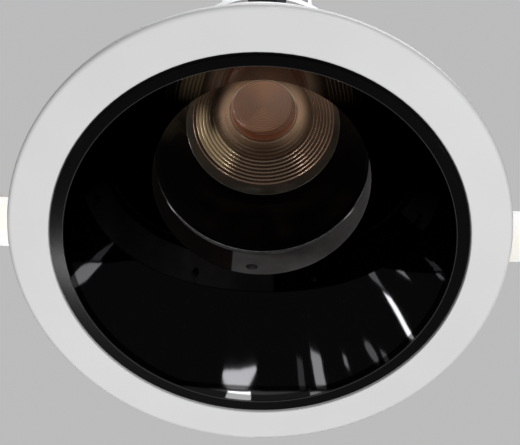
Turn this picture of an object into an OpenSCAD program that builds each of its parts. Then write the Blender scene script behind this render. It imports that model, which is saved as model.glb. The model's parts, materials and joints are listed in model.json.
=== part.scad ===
// Deep recessed downlight: a fixed trim with a dark cone, and a lamp head that swivels and tilts behind it.
// Millimetres. Z points up into the ceiling, and Z = 0 is the ceiling plane at the back of the flange.
// Radii follow each other from the lens outwards, and heights from the flange's face upwards.

/* [Lens] */
// Diameter of the lens opening
lens_open_d = 50; // [46:0.1:54]
// Thickness of the lens flange
lens_flange_t = 1.8; // [1.4:0.1:2]
// Radial overlap of the flange behind the lens opening
lens_overlap = 1.3; // [1:0.1:1.5]
// Width of the plain rim inside the lens opening
lens_rim_w = 1.6; // [1.2:0.1:2.2]
// Diameter of the central well
well_d = 21.8; // [19:0.1:24]
// Depth of the well's mouth behind the lens front
funnel_depth = 13.4; // [11:0.1:16]
// Depth of the well below its mouth
well_depth = 4.8; // [3:0.1:6]
// Thickness of the lens behind the well
lens_floor_t = 2.1; // [1.5:0.1:4]
// Diameter of the back of the lens
lens_back_d = 27; // [25.6:0.1:31]
// Number of ridges on the funnel
ridge_count = 14; // [6:1:18]
// Height of a ridge
ridge_h = 0.25; // [0.15:0.05:0.35]

/* [Cup] */
// How much the cup narrows from its rim to the lens opening, in radius
cup_taper = 7.2; // [6:0.1:9]
// Depth of the cup from its rim to the lens opening
cup_depth = 23.2; // [21:0.1:27]
// Width of the cup's rim
rim_w = 0.7; // [0.5:0.1:0.9]
// Wall thickness of the cup
cup_wall = 1.4; // [1.1:0.1:1.6]
// Thickness of the lip that the lens rests behind
cup_lip_t = 0.8; // [0.6:0.1:1.2]
// Radial width of the lens seat, with the clamp's screws in it
lens_seat_w = 4.7; // [4.4:0.1:5.4]
// Thickness of the ring that clamps the lens
clamp_t = 2; // [1.5:0.1:3]
// Height of the tilt axis above the cup's rim
pivot_rise = 14.9; // [13:0.1:17]

/* [Lamp housing] */
// Wall thickness of the head's housing
housing_wall = 2.2; // [1.8:0.1:2.6]
// Radius of the tilt pivot bosses
pivot_boss_r = 5.5; // [4.8:0.1:6.2]
// How far the pivot bosses stand out beyond the head's ball
pivot_boss_reach = 5.6; // [5:0.1:6.4]
// Thickness of the friction washers
washer_t = 0.8; // [0.6:0.1:1.2]

/* [Light source] */
// Width of the square board
board_w = 24; // [22:0.5:27]
// Thickness of the board
board_t = 1; // [0.8:0.1:1.2]
// Diameter of the light-giving disc
disc_d = 17.6; // [14:0.1:20]
// Thickness of the light-giving disc
disc_t = 0.6; // [0.4:0.1:0.8]
// Thickness of the heat pad
pad_t = 0.4; // [0.3:0.1:0.6]
// Thickness of the holder
holder_t = 4.6; // [4:0.1:6]
// Width of the holder outside its screws
holder_margin = 5.2; // [4:0.1:6]

/* [Heat sink] */
// Thickness of the heat sink's base
sink_base_t = 5; // [4:0.1:7]
// Height of the fins
fin_h = 36; // [20:1:50]
// Thickness of a fin
fin_t = 1.6; // [1.2:0.1:2]
// Number of fins
fin_count = 18; // [12:1:18]
// How far the fins' outer edges lie inside the base's edge
fin_inset = 4.5; // [3:0.1:6]
// Radius of the solid core
core_r = 10; // [8:0.5:12]
// Bevel of a fin's outer top corner
fin_corner = 4; // [2:0.5:6]

/* [Supply gland] */
// Distance of the gland's axis below the top of the housing
gland_drop = 7.9; // [7:0.1:9]
// Radius of the gland's bore
gland_bore_r = 3; // [2.5:0.1:3.4]
// Wall of the gland's tube
gland_wall = 1.4; // [1.2:0.1:1.8]
// Length of the gland outside the housing
gland_len = 11.5; // [10:0.5:16]

/* [Neck sleeve] */
// How much wider the cup's rim is than the cone's neck, in radius
rim_step = 0.8; // [0.7:0.05:1.2]
// Distance between the cone's neck and the cup's rim
rim_setback = 15.1; // [14:0.1:18]
// Gap between the cone's neck and the sleeve
sleeve_gap = 0.3; // [0.2:0.05:0.6]
// How much wider the sleeve is at its back
sleeve_flare = 1; // [0.4:0.1:1.2]
// Wall thickness of the sleeve at its back
sleeve_wall = 1.2; // [0.9:0.1:1.6]
// Height of the sleeve's skirt, which closes the gap round the head's ball
skirt_h = 8; // [6:0.5:9]
// Thickness of the pressed carrier that holds the sleeve
carrier_t = 1.2; // [1:0.1:1.5]
// Distance of the rivets from the sleeve's front edge
rivet_rise = 4.1; // [3.8:0.1:5]
// Shank radius of a rivet
rivet_r = 1; // [0.8:0.1:1.2]
// Radius of a rivet's head
rivet_head_r = 1.7; // [1.5:0.1:2]

/* [Swivel yoke and bearing] */
// Thickness of the sheet of the yoke
yoke_t = 1.8; // [1.5:0.1:2.2]
// Width of the yoke's arms
arm_w = 18; // [17:0.5:21]
// Radius of the arc slot about the tilt axis
slot_r = 13; // [12.6:0.1:14.8]
// Tilt to each side
tilt_max = 20; // [10:1:22]
// Radius of the carrier's ears
carrier_ear_r = 2.6; // [2.3:0.1:3]
// Radial overlap of the bearing cap's lip over the yoke
cap_overlap = 2.5; // [2:0.1:3]
// Thickness of the bearing cap's lip
cap_t = 1.5; // [1.2:0.1:2.5]
// Least radial width of the bearing cap outside the yoke
cap_w = 5.4; // [5:0.1:6.4]
// Thickness of the glide ring
glide_t = 0.5; // [0.4:0.1:0.8]
// Thickness of the frame plate on top of the trim's body
frame_t = 3; // [2.5:0.1:4]
// Radial width of the frame plate under the yoke
frame_ledge = 4; // [3.5:0.1:4.6]

/* [Cone reflector] */
// How much the cone widens from its neck to its mouth, in radius
cone_flare = 17.5; // [15.5:0.1:20]
// Depth of the neck behind the flange's face
neck_depth = 38; // [36:0.1:43]
// Wall thickness of the cone
cone_wall = 1.6; // [1.3:0.1:1.9]
// Width of the flat lip round the mouth
lip_w = 3.2; // [2.8:0.1:3.8]
// Depth of the lip's face behind the flange's face
lip_recess = 0.6; // [0.3:0.1:0.8]
// Thickness of the lip
lip_t = 1.2; // [0.9:0.1:1.5]
// Width of the fine step round the lip's edge
lip_step_w = 0.7; // [0.4:0.1:1]
// Depth of that step
lip_step_t = 0.25; // [0.1:0.05:0.4]
// Radial gap between the lip and the flange
lip_gap = 0.15; // [0.1:0.05:0.3]
// Radial reach of the lugs that hold the cone in the trim
lug_reach = 1.3; // [1:0.1:1.6]
// Thickness of those lugs
lug_h = 1.5; // [1.2:0.1:2]

/* [Trim ring] */
// Thickness of the flange
flange_t = 2.5; // [2.2:0.1:3.5]
// Radius of the flange's rounded front edge
flange_edge_r = 1.1; // [0.5:0.1:1.6]
// Radius of the small round at the flange's inner front edge
bore_edge_r = 0.35; // [0.1:0.05:0.5]
// Radial distance of the spigot outside the flange's opening
spigot_inset = 4.75; // [4.2:0.05:6]
// Radial clearance between the spigot and the ceiling cut-out
spigot_gap = 0.5; // [0.3:0.1:0.8]
// How far the flange covers the ceiling beyond the cut-out
flange_cover = 5; // [3:0.1:12]
// Wall thickness of the trim's body
body_wall = 2; // [1.7:0.1:2.4]
// How far the body steps in above the spigot
body_step = 2.5; // [2.3:0.1:2.9]
// Thickness of the ledge that the cone's lugs lock behind
ledge_t = 1.5; // [1.2:0.1:2]

/* [Spring clips] */
// Height of the clip pins above the ceiling plane
clip_z = 14; // [13:0.1:16]
// Height of the ears above the clip pins
ear_rise = 5; // [4.5:0.1:5.8]
// Height of the trim's body above the ears
ear_drop = 3; // [2:0.1:4]
// Thickness of the ears beside the clips
ear_t = 2.5; // [2:0.1:3]
// Length of a clip arm from its pin
clip_len = 46; // [40:1:54]
// Width of a clip arm
clip_w = 14.8; // [13.5:0.1:16]
// Thickness of a clip arm
clip_t = 1; // [0.8:0.05:1.1]
// Offset of a clip arm from its pin
clip_offset = 3.4; // [3.35:0.05:3.8]
// Thickness of a clip arm's cheeks
cheek_t = 1.2; // [1:0.1:1.4]
// How much narrower the clip arm's tip is
tip_taper = 3.8; // [3:0.1:5]
// Length of the soft pad on the tip
clip_pad_len = 14; // [11:1:16]
// Wall of the soft pad
clip_pad_t = 0.8; // [0.6:0.1:1]
// Radius of a clip pin
clip_pin_r = 1.5; // [1.3:0.1:1.6]
// Radius of the spring wire
wire_r = 0.5; // [0.4:0.05:0.5]
// Gap between the clip pin and the spring coil
coil_gap = 0.55; // [0.45:0.05:0.6]
// Pitch of the spring coil
coil_pitch = 1.6; // [1.45:0.05:1.75]
// Whole turns of the spring coil
coil_turns = 5; // [3:1:5]

/* [Fasteners and fits] */
// Shank radius of the large screws
screw_r = 1.5; // [1.3:0.1:1.7]
// Shank radius of the small screws
small_screw_r = 1.1; // [0.9:0.1:1.2]
// Shank radius of the tilt pivots
pivot_r = 2; // [1.8:0.1:2.3]
// Depth that the cap's screws reach into the trim's body
cap_screw_depth = 10; // [8:0.5:13]
// Depth that the heat sink's screws reach into the housing
sink_screw_depth = 12; // [10:0.5:15]
// Radial clearance of turning and screwed fits
fit = 0.05; // [0.02:0.01:0.08]
// Clearance between faces that slide past each other
slide_gap = 0.1; // [0.1:0.05:0.2]
// Clearance between the head's ball and the sleeve
ball_gap = 0.45; // [0.35:0.05:0.6]
// Clearance between pieces that only face each other
touch_gap = 0.3; // [0.2:0.05:0.4]
// Clearance between seated pieces
seat_gap = 0.1; // [0.05:0.05:0.15]
// Clearance beside walls
root_gap = 0.4; // [0.3:0.05:0.6]

/* [Hidden] */
$fn = 96;

// Head of a screw by the radius of its shank, the bosses round the large screws, and where side bores end
function head_r(r) = 1.8 * r;
function head_h(r) = 1.25 * r;
boss_r = screw_r + 1.7;
stop_boss_r = screw_r + 1.9;
bore_end = 1;

// Radii of the optic, the cup, the sleeve and the cone's neck
lens_open_r = lens_open_d / 2;
lens_r = lens_open_r + lens_overlap;
seat_r = lens_r + lens_seat_w;
rim_r = lens_open_r + cup_taper;
neck_r = rim_r - rim_step;
mouth_r = neck_r + cone_flare;
lip_r = mouth_r + lip_w;
face_r = lip_r + lip_gap;

// Heights of the cone, the sleeve and the head's front
face_z = -flange_t;
lip_z = face_z + lip_recess;
ledge_z = lip_z + lip_t;
ledge_top = ledge_z + ledge_t;
neck_z = face_z + neck_depth;
sleeve_z = neck_z + sleeve_gap;
rivet_z = sleeve_z + rivet_rise;
rim_z = neck_z + rim_setback;
pivot_z = rim_z + pivot_rise;
lens_open_z = rim_z + cup_depth;

// Cone: its inner and outer radius at a height, and the lugs behind the trim's ledge
cone_slope = (mouth_r - neck_r) / (neck_z - lip_z);
cone_skin = cone_wall * sqrt(1 + cone_slope * cone_slope);
function cone_in(z) = mouth_r - (z - lip_z) * cone_slope;
function cone_out(z) = cone_in(z) + cone_skin;
ledge_r = cone_out(ledge_z) + root_gap;
lug_z = ledge_top + fit;
lug_r = ledge_r + lug_reach;
lug_angle = 9;
notch_angle = 13;
notch_place_angle = 30;

// Head: the ball that its front describes about the tilt axis, its housing and the yoke's arms
ball_r = norm([rim_r + rim_w, pivot_z - rim_z]);
housing_z = pivot_z - pivot_boss_r;
housing_r = sqrt(ball_r * ball_r - pivot_boss_r * pivot_boss_r) - 0.2;
housing_in = housing_r - housing_wall;
boss_x = ball_r + pivot_boss_reach;
arm_x = boss_x + washer_t + slide_gap;
arm_out = arm_x + yoke_t;
arm_top_r = slot_r + screw_r + 2.5;
slot_half = screw_r + 0.2;
slot_angle = tilt_max + 1;
carrier_ear_c = arm_x + 1;

// Bearing radii, and the trim's body and spigot, which clear both the bearing and the cone's lip
cap_in_r = carrier_ear_c + carrier_ear_r + 0.2;
race_r = cap_in_r + cap_overlap;
yoke_r = race_r - fit;
frame_in_r = race_r - frame_ledge;
body_r = max(face_r + spigot_inset - body_step, race_r + cap_w);
spigot_r = body_r + body_step;
trim_r = spigot_r + spigot_gap + flange_cover;
cap_screw_c = body_r - 2 * screw_r;
reach = 2 * trim_r;

// Spring clips, and the body's heights that follow them
clip_x = body_r + root_gap - clip_offset;
cheek_r = clip_offset + 0.2;
clip_under = clip_offset + clip_t;
clip_heel = sqrt(pow(clip_under + touch_gap / 2, 2) - clip_under * clip_under);
tip_w = clip_w - tip_taper;
tip_start = clip_len - clip_pad_len - 2;
tip_chamfer = 2;
spigot_h = clip_z - clip_under - touch_gap;
ear_in = clip_w / 2 + 0.6;
ear_top = clip_z + ear_rise;
body_h = ear_top + ear_drop;
gusset_len = ear_rise - touch_gap;
pin_len = 2 * (ear_in + ear_t);
coil_r = clip_pin_r + coil_gap + wire_r;
coil_len = coil_pitch * (coil_turns + 0.25);
coil_rings = 8;
leg_out = clip_len / 2 - 1;
leg_up = body_h - clip_z - touch_gap;

// Swivel bearing, from below
frame_top = body_h + frame_t;
yoke_z = frame_top + glide_t + slide_gap;
yoke_top = yoke_z + yoke_t;
cap_lip_z = yoke_top + slide_gap;
cap_top = cap_lip_z + cap_t;
yoke_in_r = cone_out(yoke_z) + 2.2;
stop_w = 2;
stop_h = 2.4;

// Neck sleeve and its carrier
sleeve_back_in = neck_r + sleeve_flare / 2;
sleeve_back_z = pivot_z - sqrt(pow(ball_r + ball_gap, 2) - pow(sleeve_back_in, 2));
sleeve_out = sleeve_back_in + sleeve_wall;
skirt_r = ball_r + ball_gap;
function skirt_at(r, angle) = [r * cos(angle), pivot_z - r * sin(angle)];
skirt_low = acos(sleeve_out / (skirt_r + sleeve_wall));
skirt_low_in = acos(sleeve_back_in / skirt_r);
skirt_high = asin((pivot_z - sleeve_back_z - skirt_h) / skirt_r);
function sleeve_in(z) = neck_r + (z - sleeve_z) / (sleeve_back_z - sleeve_z) * sleeve_flare / 2;
rivet_sunk = 0.4;
rivet_head_t = 0.8;
rivet_angle = 94;
band_in = sleeve_out + fit;
band_out = band_in + carrier_t;
band_z = rivet_z - rivet_head_r - 0.2;
band_top = rivet_z + rivet_head_r + 0.4;
carrier_slope = (yoke_in_r - band_in) / (band_z - yoke_top);
carrier_skin = carrier_t * sqrt(1 + carrier_slope * carrier_slope);
carrier_foot_z = yoke_top + carrier_t;

// Cup and lens, from the front
cup_slope = (rim_r - lens_open_r) / (lens_open_z - rim_z);
cup_skin = cup_wall * sqrt(1 + cup_slope * cup_slope);
function cup_out(z) = rim_r - (z - rim_z) * cup_slope + cup_skin;
cup_foot = 1.5;
lens_z = lens_open_z + cup_lip_t + seat_gap;
seat_top = lens_z + lens_flange_t + seat_gap;
clamp_in = lens_open_r - 0.4;
clamp_screw_c = (lens_r + seat_r) / 2;
funnel_r = lens_open_r - lens_rim_w;
funnel_z = lens_z + 0.2;
well_r = well_d / 2;
well_z = lens_z + funnel_depth;
well_floor_z = well_z + well_depth;
lens_back_z = well_floor_z + lens_floor_t;
lens_back_r = lens_back_d / 2;

// Light source, housing top, heat sink and gland
holder_z = lens_back_z + touch_gap;
housing_top = holder_z + holder_t;
pad_z = housing_top - pad_t;
board_z = pad_z - board_t;
disc_z = board_z - disc_t;
board_gap = 0.2;
holder_window_r = disc_d / 2 + 0.6;
holder_screw_c = board_w / 2 + board_gap + 2 * head_r(screw_r) + 0.2;
holder_r = holder_screw_c + holder_margin;
holder_seat_z = holder_z + head_h(screw_r) + seat_gap;
fin_turn = 360 / fin_count;
fin_r = housing_r - fin_inset;
sink_screw_c = housing_in - boss_r + 0.1;
sink_top = housing_top + sink_base_t;
gland_z = housing_top - gland_drop;
gland_face = housing_r + 1;
gland_r = gland_bore_r + gland_wall;
gland_hex_r = gland_r + 1.8;
gland_hex_t = 2.5;
gland_tube = gland_len - 2.5;

// Plain ring between two radii and two heights
module ring(r_in, r_out, z0, z1) {
    difference() {
        translate([0, 0, z0]) cylinder(r=r_out, h=z1 - z0);
        translate([0, 0, z0 - 1]) cylinder(r=r_in, h=z1 - z0 + 2);
    }
}

// Copies of a child round the axis, at a radius
module around(count, radius, start=0) {
    for (i = [0:count - 1]) rotate([0, 0, start + i * 360 / count]) translate([radius, 0, 0]) children();
}

// Solid turned about the axis, from its half outline
module turned(points) {
    rotate_extrude() polygon(points);
}

// Pan-head screw along +Z, with its tip, seat and a six-sided socket
module pan_screw(r, tip_z, seat_z) {
    top_r = head_r(r);
    top_h = head_h(r);
    difference() {
        turned([
            [0, tip_z], [0.8 * r, tip_z], [r, tip_z + 0.2 * r], [r, seat_z], [top_r, seat_z],
            [top_r, seat_z + 0.6 * top_h], [top_r - 0.3 * top_h, seat_z + top_h], [0, seat_z + top_h]
        ]);
        translate([0, 0, seat_z + 0.45 * top_h]) cylinder(r=0.5 * top_r, h=top_h, $fn=6);
    }
}

// Sector about the axis, for cutting
module sector(r, half_angle, z0, z1) {
    translate([0, 0, z0]) linear_extrude(z1 - z0)
        polygon([[0, 0], [r * cos(half_angle), -r * sin(half_angle)], [r * 1.05, 0],
                 [r * cos(half_angle), r * sin(half_angle)]]);
}

// Flange outline with its rounded edges
module flange_outline() {
    difference() {
        polygon([[face_r, face_z], [trim_r, face_z], [trim_r, 0], [face_r, 0]]);
        difference() {
            translate([trim_r - flange_edge_r, face_z - 1]) square([flange_edge_r + 1, flange_edge_r + 1]);
            translate([trim_r - flange_edge_r, face_z + flange_edge_r]) circle(r=flange_edge_r);
        }
        difference() {
            translate([face_r - 1, face_z - 1]) square([bore_edge_r + 1, bore_edge_r + 1]);
            translate([face_r + bore_edge_r, face_z + bore_edge_r]) circle(r=bore_edge_r);
        }
    }
}

// White flange with the spigot, the ledge for the cone, the body and the ears for the spring clips
module trim_ring() {
    color("whitesmoke") difference() {
        union() {
            rotate_extrude() flange_outline();
            turned([
                [ledge_r, ledge_z], [face_r + body_wall / 2, ledge_z], [face_r + body_wall / 2, -0.01],
                [spigot_r, -0.01],
                [spigot_r, spigot_h], [body_r, spigot_h], [body_r, body_h], [body_r - body_wall, body_h],
                [body_r - body_wall, spigot_h - body_wall], [spigot_r - body_wall, spigot_h - body_wall],
                [spigot_r - body_wall, ledge_top], [ledge_r, ledge_top]
            ]);
            body_bosses();
            for (side = [0, 180]) rotate([0, 0, side]) clip_ears();
        }
        around(4, cap_screw_c, 45)
            translate([0, 0, body_h - cap_screw_depth]) cylinder(r=screw_r + fit, h=reach);
        for (side = [0, 180]) rotate([0, 0, side]) clip_window();
        around(3, 0, notch_place_angle)
            intersection() {
                sector(face_r, notch_angle / 2 + 0.5, ledge_z - 0.5, ledge_top + 0.5);
                cylinder(r=lug_r + root_gap, h=reach, center=true);
            }
    }
}

// Bosses that take the bearing cap's screws
module body_bosses() {
    intersection() {
        around(4, cap_screw_c, 45)
            translate([0, 0, spigot_h - body_wall]) cylinder(r=boss_r, h=body_h - spigot_h + body_wall);
        cylinder(r=body_r - body_wall / 2, h=body_h);
    }
}

// Pair of ears beside a clip's window
module clip_ears() {
    intersection() {
        for (side = [-1, 1])
            translate([clip_x - cheek_r, side * (ear_in + ear_t / 2) - ear_t / 2, spigot_h - body_wall])
                cube([body_r, ear_t, ear_top - spigot_h + body_wall]);
        cylinder(r=body_r - body_wall / 2, h=body_h);
    }
}

// Window for a clip's coil and cheeks, and the bores for its pin
module clip_window() {
    translate([clip_x - cheek_r - 1, -ear_in, spigot_h]) cube([body_r, 2 * ear_in, ear_top - spigot_h]);
    translate([clip_x, 0, clip_z]) rotate([90, 0, 0])
        cylinder(r=clip_pin_r + fit, h=1.1 * pin_len, center=true);
}

// Black mirror cone with its flat lip and the lugs that lock behind the trim's ledge
module cone_reflector() {
    color([0.02, 0.02, 0.022]) union() {
        turned([
            [mouth_r, lip_z], [lip_r - lip_step_w, lip_z], [lip_r - lip_step_w, lip_z + lip_step_t],
            [lip_r, lip_z + lip_step_t], [lip_r, ledge_z], [cone_out(ledge_z), ledge_z],
            [cone_out(neck_z), neck_z], [neck_r, neck_z]
        ]);
        around(3, 0) intersection() {
            sector(1.1 * lug_r, lug_angle / 2, lug_z, lug_z + lug_h);
            ring(cone_in(lug_z) + cone_wall / 4, lug_r, lug_z, lug_z + lug_h);
        }
    }
}

// Plate that closes the back of the trim and carries the swivel, with its stop nib
module bearing_frame() {
    color([0.55, 0.56, 0.58]) difference() {
        union() {
            ring(frame_in_r, body_r, body_h, frame_top);
            translate([-stop_w / 2, -frame_in_r - 0.5, body_h]) cube([stop_w, stop_h + 0.5, frame_t - 0.2]);
        }
        around(4, cap_screw_c, 45) cylinder(r=screw_r + fit, h=reach);
    }
}

// Thin plastic ring that the yoke slides on
module glide_ring() {
    color("ivory") ring(frame_in_r + 0.2, race_r - 0.3, frame_top, frame_top + glide_t);
}

// Cap that holds the yoke down and guides its edge
module bearing_cap() {
    color([0.6, 0.61, 0.63]) difference() {
        turned([
            [race_r, frame_top], [body_r, frame_top], [body_r, cap_top - 0.4], [body_r - 0.4, cap_top],
            [cap_in_r, cap_top], [cap_in_r, cap_lip_z], [race_r, cap_lip_z]
        ]);
        around(4, cap_screw_c, 45) cylinder(r=screw_r + fit, h=reach);
    }
}

// Screws that hold the cap and the frame to the trim
module cap_screws() {
    color("silver") around(4, cap_screw_c, 45)
        pan_screw(screw_r, body_h - 0.9 * cap_screw_depth, cap_top);
}

// Outline of one yoke arm, seen along the tilt axis
module arm_outline() {
    difference() {
        intersection() {
            translate([-arm_w / 2, yoke_z]) square([arm_w, pivot_z - yoke_z + arm_top_r]);
            union() {
                translate([0, pivot_z]) circle(r=arm_top_r);
                translate([-arm_w / 2, yoke_z]) square([arm_w, pivot_z - yoke_z]);
            }
        }
        translate([0, pivot_z]) circle(r=pivot_r + fit);
        translate([0, pivot_z]) slot_outline();
    }
}

// Arc slot for the tilt stop, about the tilt axis
module slot_outline() {
    far = 2 * slot_r;
    intersection() {
        difference() {
            circle(r=slot_r + slot_half);
            circle(r=slot_r - slot_half);
        }
        polygon([[0, 0], [-far * sin(slot_angle), far * cos(slot_angle)], [0, 1.2 * far],
                 [far * sin(slot_angle), far * cos(slot_angle)]]);
    }
    for (turn = [-slot_angle, slot_angle]) rotate(turn) translate([0, slot_r]) circle(r=slot_half);
}

// Sheet-steel ring with two upright arms, turning in the bearing, and its stop nib
module swivel_yoke() {
    color([0.72, 0.73, 0.75]) difference() {
        union() {
            ring(yoke_in_r, yoke_r, yoke_z, yoke_top);
            for (side = [0, 180]) rotate([0, 0, side])
                translate([arm_x, 0, 0]) rotate([90, 0, 90]) linear_extrude(yoke_t) arm_outline();
            translate([-stop_w / 2, frame_in_r - stop_h, yoke_z - stop_h])
                cube([stop_w, stop_h - 0.8, stop_h + 0.5]);
        }
        around(4, carrier_ear_c, 45) cylinder(r=small_screw_r + fit, h=reach);
    }
}

// Pressed ring that stands on the yoke and carries the neck sleeve
module sleeve_carrier() {
    color([0.12, 0.12, 0.13]) difference() {
        union() {
            turned([
                [yoke_in_r, yoke_top], [arm_x - touch_gap, yoke_top], [arm_x - touch_gap, carrier_foot_z],
                [yoke_in_r + carrier_skin - carrier_t * carrier_slope, carrier_foot_z],
                [band_out, band_z + (band_in + carrier_skin - band_out) / carrier_slope],
                [band_out, band_top], [band_in, band_top], [band_in, band_z]
            ]);
            around(4, carrier_ear_c, 45) translate([0, 0, yoke_top]) cylinder(r=carrier_ear_r, h=carrier_t);
        }
        around(4, carrier_ear_c, 45) cylinder(r=small_screw_r + fit, h=reach);
        around(3, 0, rivet_angle) rotate([0, 90, 0])
            translate([-rivet_z, 0, 0]) cylinder(r=rivet_r + fit, h=reach);
    }
}

// Gloss black tube behind the cone's neck, with a skirt that follows the head's ball
module neck_sleeve() {
    color([0.03, 0.03, 0.032]) difference() {
        turned(concat(
            [[neck_r, sleeve_z], [sleeve_out, sleeve_z]],
            [for (t = [0:0.2:1]) skirt_at(skirt_r + sleeve_wall, skirt_low + t * (skirt_high - skirt_low))],
            [for (t = [1:-0.2:0.1]) skirt_at(skirt_r, skirt_low_in + t * (skirt_high - skirt_low_in))],
            [[sleeve_back_in, sleeve_back_z]]
        ));
        around(3, 0, rivet_angle) rotate([0, 90, 0]) translate([-rivet_z, 0, 0]) {
            cylinder(r=rivet_r + fit, h=reach);
            cylinder(r=rivet_head_r + 0.2, h=sleeve_in(rivet_z) + rivet_sunk);
        }
    }
}

// Rivets through the sleeve and the carrier's band
module sleeve_rivets() {
    head_x = sleeve_in(rivet_z) + rivet_sunk;
    color([0.2, 0.2, 0.21]) around(3, 0, rivet_angle) rotate([0, 90, 0]) translate([-rivet_z, 0, 0])
        turned([
            [0, head_x - rivet_head_t], [rivet_head_r * 0.6, head_x - rivet_head_t * 0.8],
            [rivet_head_r, head_x - rivet_head_t / 4],
            [rivet_head_r, head_x], [rivet_r, head_x], [rivet_r, band_out + fit],
            [rivet_head_r, band_out + fit], [rivet_head_r * 0.8, band_out + fit + rivet_head_t * 0.8],
            [0, band_out + fit + rivet_head_t]
        ]);
}

// Small screws that hold the carrier to the yoke
module carrier_screws() {
    color("silver") around(4, carrier_ear_c, 45)
        pan_screw(small_screw_r, yoke_z + slide_gap, carrier_foot_z);
}

// Gloss black cup: a ball-shaped front skin, a narrowing inner wall and the seat for the lens
module front_cup() {
    foot_in = cup_out(housing_z - cup_foot) + touch_gap;
    color([0.025, 0.025, 0.027]) difference() {
        union() {
            rotate_extrude() cup_skin_outline();
            turned([
                [rim_r, rim_z], [rim_r + cup_skin, rim_z], [lens_open_r + cup_skin, lens_open_z],
                [seat_r, lens_open_z], [seat_r, seat_top], [lens_r + seat_gap, seat_top],
                [lens_r + seat_gap, lens_z - seat_gap], [lens_open_r, lens_z - seat_gap],
                [lens_open_r, lens_open_z]
            ]);
            ring(foot_in, housing_in - seat_gap, housing_z - cup_foot, housing_z + 2.5 * cup_foot);
            ring(foot_in, housing_r, housing_z - cup_foot, housing_z - seat_gap);
        }
        difference() {
            ring(rim_r - 2, 1.2 * ball_r, rim_z - 5, housing_z + 1);
            translate([0, 0, pivot_z]) sphere(r=ball_r);
        }
        around(3, clamp_screw_c, 60)
            translate([0, 0, lens_open_z + cup_lip_t]) cylinder(r=small_screw_r + fit, h=reach);
    }
}

// Half outline of the cup's ball-shaped skin
module cup_skin_outline() {
    intersection() {
        translate([0, pivot_z]) difference() {
            circle(r=ball_r);
            circle(r=ball_r - cup_wall);
        }
        translate([rim_r / 2, rim_z]) square([ball_r, housing_z - seat_gap - rim_z]);
    }
}

// Bronze-tinted optic with a plain rim, a ridged funnel and a flat-bottomed central well
module lens() {
    run = funnel_r - well_r;
    drop = well_z - funnel_z;
    color([0.55, 0.36, 0.2]) turned(concat(
        [[lens_r, lens_z], [funnel_r, lens_z]],
        [for (i = [0:ridge_count - 1]) for (edge = [0, 1]) let (t = (i + 0.6 * edge) / ridge_count)
            [funnel_r - run * t - edge * ridge_h, funnel_z + drop * t - edge * 0.3 * ridge_h]],
        [[well_r, well_z], [well_r, well_floor_z], [0, well_floor_z], [0, lens_back_z],
         [lens_back_r, lens_back_z]],
        [for (t = [0.25:0.25:1]) [lens_back_r + (clamp_in - 0.2 - lens_back_r) * sqrt(t),
            lens_back_z + (lens_z + lens_flange_t - lens_back_z) * t]],
        [[lens_r, lens_z + lens_flange_t]]
    ));
}

// Ring that clamps the lens flange into the cup
module lens_clamp() {
    color([0.1, 0.1, 0.1]) difference() {
        ring(clamp_in, seat_r, seat_top, seat_top + clamp_t);
        around(3, clamp_screw_c, 60) cylinder(r=small_screw_r + fit, h=reach);
    }
}

// Screws of the lens clamp
module clamp_screws() {
    color("silver") around(3, clamp_screw_c, 60)
        pan_screw(small_screw_r, lens_open_z + cup_lip_t + 2 * seat_gap, seat_top + clamp_t);
}

// Boss on both sides of the head, along the tilt axis
module side_bosses(r, z) {
    for (side = [0, 180]) rotate([0, 0, side]) translate([0, 0, z]) rotate([0, 90, 0])
        translate([0, 0, housing_in + 0.5]) cylinder(r=r, h=boss_x - housing_in - 0.5);
}

// Blind bores in those bosses
module side_bores(r, z) {
    for (side = [0, 180]) rotate([0, 0, side]) translate([0, 0, z]) rotate([0, 90, 0])
        translate([0, 0, housing_in + bore_end]) cylinder(r=r, h=boss_x);
}

// Die-cast housing of the head with its pivot bosses, screw bosses and gland pad
module head_housing() {
    color([0.13, 0.13, 0.14]) difference() {
        union() {
            ring(housing_in, housing_r, housing_z, housing_top);
            side_bosses(pivot_boss_r, pivot_z);
            side_bosses(stop_boss_r, pivot_z + slot_r);
            translate([0, 0, gland_z]) rotate([90, 0, 0])
                translate([0, 0, housing_in + 0.3])
                    cylinder(r=gland_hex_r - 0.2, h=gland_face - housing_in - 0.3);
            intersection() {
                sink_screws_at() translate([0, 0, housing_top - sink_screw_depth - 2])
                    cylinder(r=boss_r, h=sink_screw_depth + 2);
                cylinder(r=housing_in + 0.5, h=housing_top);
            }
        }
        side_bores(pivot_r + fit, pivot_z);
        side_bores(screw_r + fit, pivot_z + slot_r);
        translate([0, 0, gland_z]) rotate([90, 0, 0]) cylinder(r=gland_r + fit, h=reach);
        sink_screws_at() translate([0, 0, housing_top - sink_screw_depth])
            cylinder(r=screw_r + fit, h=reach);
    }
}

// Places of the heat sink's screws, each midway between two fins
module sink_screws_at() {
    for (k = [0:2]) rotate([0, 0, (round(fin_count * (1 / 4 + k / 3) - 0.5) + 0.5) * fin_turn])
        translate([sink_screw_c, 0, 0]) children();
}

// Screws that the head tilts on
module pivot_screws() {
    color("silver") for (side = [0, 180]) rotate([0, 0, side]) translate([0, 0, pivot_z]) rotate([0, 90, 0])
        pan_screw(pivot_r, housing_in + bore_end + 0.4, arm_out + 2 * slide_gap);
}

// Friction washers between the head and the yoke's arms
module pivot_washers() {
    color("ivory") for (side = [0, 180]) rotate([0, 0, side]) translate([0, 0, pivot_z]) rotate([0, 90, 0])
        ring(pivot_r + fit, pivot_boss_r - touch_gap, boss_x, boss_x + washer_t);
}

// Screws that run in the arc slots and stop the tilt
module tilt_stop_screws() {
    color("silver") for (side = [0, 180]) rotate([0, 0, side]) translate([0, 0, pivot_z + slot_r])
        rotate([0, 90, 0]) pan_screw(screw_r, housing_in + bore_end + 0.4, arm_out + 2 * slide_gap);
}

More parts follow.
